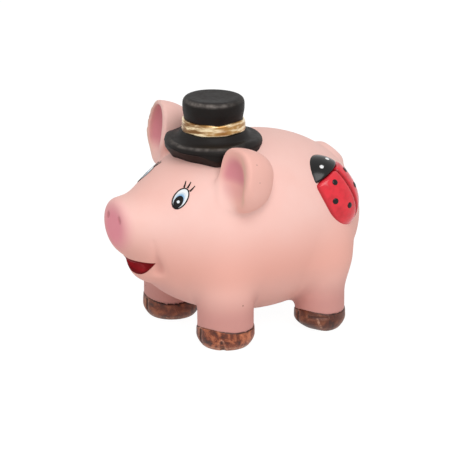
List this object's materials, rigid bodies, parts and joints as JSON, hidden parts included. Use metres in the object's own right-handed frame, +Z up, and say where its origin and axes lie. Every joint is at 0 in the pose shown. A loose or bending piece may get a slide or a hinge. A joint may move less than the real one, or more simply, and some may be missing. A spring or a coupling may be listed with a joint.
{
  "type": "pig figurine",
  "caption": "Hollow painted earthenware pig standing on four hooves, with a black top hat and gold band, cupped ears, a curled tail and a ladybird in relief on its rump.",
  "frame": {"origin": "on the table under the middle of the pig's length and width", "axes": "+Z up, -Y the way the snout points, +X the pig's left side, where the ladybird is"},
  "size_m": [0.0821, 0.1084, 0.096],
  "materials": {
    "pink_paint": "matt cold paint over earthenware, airbrushed deeper pink",
    "mouth_red": "satin red paint",
    "hat_black": "semi-gloss black paint with worn edges",
    "hat_gold": "brushed gold paint",
    "hoof_brown": "copper-brown paint dry-brushed over a dark wash",
    "ladybird_red": "gloss red paint",
    "ladybird_black": "gloss black paint",
    "eye_white": "satin white paint",
    "iris_blue": "satin light-blue paint",
    "pupil_black": "satin black paint",
    "line_brown": "satin dark-brown paint"
  },
  "bodies": {
    "root": {"body_shell": "pink_paint", "ear_left": "pink_paint", "ear_right": "pink_paint", "eye_line_left": "line_brown", "eye_line_right": "line_brown", "eye_white_left": "eye_white", "eye_white_right": "eye_white", "glint_left": "eye_white", "glint_right": "eye_white", "hat_band": "hat_gold", "hat_brim": "hat_black", "hat_crown": "hat_black", "hoof_front_left": "hoof_brown", "hoof_front_right": "hoof_brown", "hoof_rear_left": "hoof_brown", "hoof_rear_right": "hoof_brown", "iris_left": "iris_blue", "iris_right": "iris_blue", "ladybird_eyes": "eye_white", "ladybird_head": "ladybird_black", "ladybird_left_wing": "ladybird_red", "ladybird_right_wing": "ladybird_red", "ladybird_spots": "ladybird_black", "lashes_left": "line_brown", "lashes_right": "line_brown", "mouth": "mouth_red", "pupil_left": "pupil_black", "pupil_right": "pupil_black", "tail": "pink_paint"}
  },
  "joints": []
}
